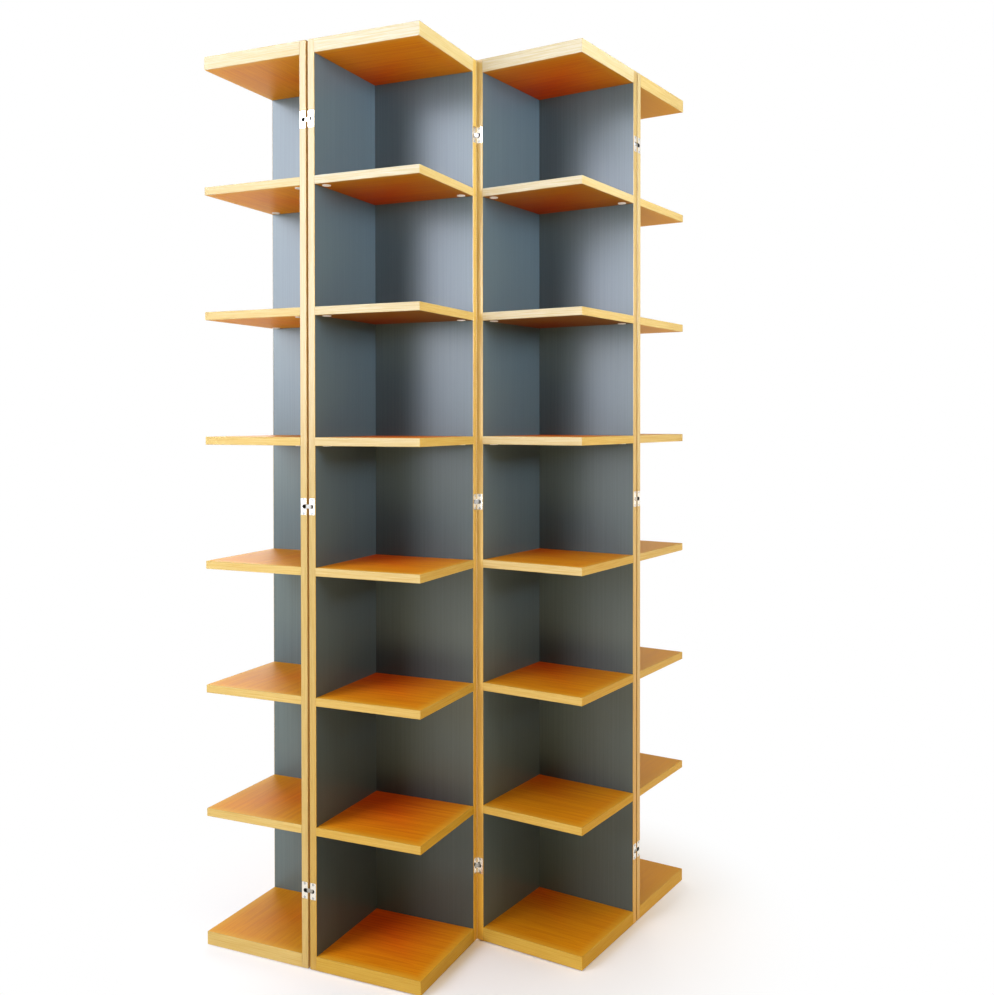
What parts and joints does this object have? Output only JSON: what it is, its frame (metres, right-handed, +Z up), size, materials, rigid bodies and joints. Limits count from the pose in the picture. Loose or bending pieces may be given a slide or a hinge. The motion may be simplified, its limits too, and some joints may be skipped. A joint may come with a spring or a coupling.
{
  "type": "folding bookcase",
  "caption": "Tall folding bookcase of hinged open corner units, each with two slate grey panels, wood shelves between them and beech edges.",
  "frame": {"origin": "on the floor, at the centre of the footprint of the bookcase as it stands", "axes": "+Z up; +X along the inner face of the second unit's right panel, -Y towards the front of the first two units"},
  "size_m": [0.9911, 0.8993, 2.218],
  "materials": {
    "panel": "slate grey laminate inside, beech on the edges and outside, satin",
    "shelf": "orange brown stained veneer, satin lacquer, pale beech edges",
    "connector_cap": "white moulded plastic",
    "glide": "black plastic",
    "hinge_leaf": "bright nickel plate",
    "hinge_link": "bright nickel plate"
  },
  "bodies": {
    "unit_a": {"panel_left_a": "panel", "panel_right_a": "panel", "bottom_board_a": "shelf", "top_board_a": "shelf", "shelf_1_a": "shelf", "shelf_2_a": "shelf", "shelf_3_a": "shelf", "shelf_4_a": "shelf", "shelf_5_a": "shelf", "shelf_6_a": "shelf", "connector_caps_a": "connector_cap", "glides_a": "glide", "hinge_leaves_a": "hinge_leaf"},
    "unit_b": {"panel_left_b": "panel", "panel_right_b": "panel", "bottom_board_b": "shelf", "top_board_b": "shelf", "shelf_1_b": "shelf", "shelf_2_b": "shelf", "shelf_3_b": "shelf", "shelf_4_b": "shelf", "shelf_5_b": "shelf", "shelf_6_b": "shelf", "connector_caps_b": "connector_cap", "glides_b": "glide", "hinge_leaves_b": "hinge_leaf"},
    "unit_c": {"panel_left_c": "panel", "panel_right_c": "panel", "bottom_board_c": "shelf", "top_board_c": "shelf", "shelf_1_c": "shelf", "shelf_2_c": "shelf", "shelf_3_c": "shelf", "shelf_4_c": "shelf", "shelf_5_c": "shelf", "shelf_6_c": "shelf", "connector_caps_c": "connector_cap", "glides_c": "glide", "hinge_leaves_c": "hinge_leaf"},
    "unit_d": {"panel_left_d": "panel", "panel_right_d": "panel", "bottom_board_d": "shelf", "top_board_d": "shelf", "shelf_1_d": "shelf", "shelf_2_d": "shelf", "shelf_3_d": "shelf", "shelf_4_d": "shelf", "shelf_5_d": "shelf", "shelf_6_d": "shelf", "connector_caps_d": "connector_cap", "glides_d": "glide", "hinge_leaves_d": "hinge_leaf"},
    "hinge_link_ab": {"hinge_links_ab": "hinge_link"},
    "hinge_link_bc": {"hinge_links_bc": "hinge_link"},
    "hinge_link_cd": {"hinge_links_cd": "hinge_link"}
  },
  "joints": [
    {"name": "link_turn_ab", "type": "hinge", "parent": "unit_b", "child": "hinge_link_ab", "pos_m": [-0.18665, -0.44499, 0], "axis": [0, 0, 1], "range_deg": [0, 90]},
    {"name": "unit_turn_ab", "type": "hinge", "parent": "hinge_link_ab", "child": "unit_a", "pos_m": [-0.19915, -0.44499, 0], "axis": [0, 0, 1], "range_deg": [0, 90]},
    {"name": "link_turn_bc", "type": "hinge", "parent": "unit_b", "child": "hinge_link_bc", "pos_m": [0.1051, -0.15324, 0], "axis": [0, 0, -1], "range_deg": [-49.2, 40.8]},
    {"name": "unit_turn_bc", "type": "hinge", "parent": "hinge_link_bc", "child": "unit_c", "pos_m": [0.11457, -0.14507, 0], "axis": [0, 0, -1], "range_deg": [-49.2, 40.8]},
    {"name": "link_turn_cd", "type": "hinge", "parent": "unit_c", "child": "hinge_link_cd", "pos_m": [0.44581, 0.10093, 0], "axis": [0, 0, -1], "range_deg": [0, 90]},
    {"name": "unit_turn_cd", "type": "hinge", "parent": "hinge_link_cd", "child": "unit_d", "pos_m": [0.44763, 0.11329, 0], "axis": [0, 0, -1], "range_deg": [0, 90]}
  ]
}
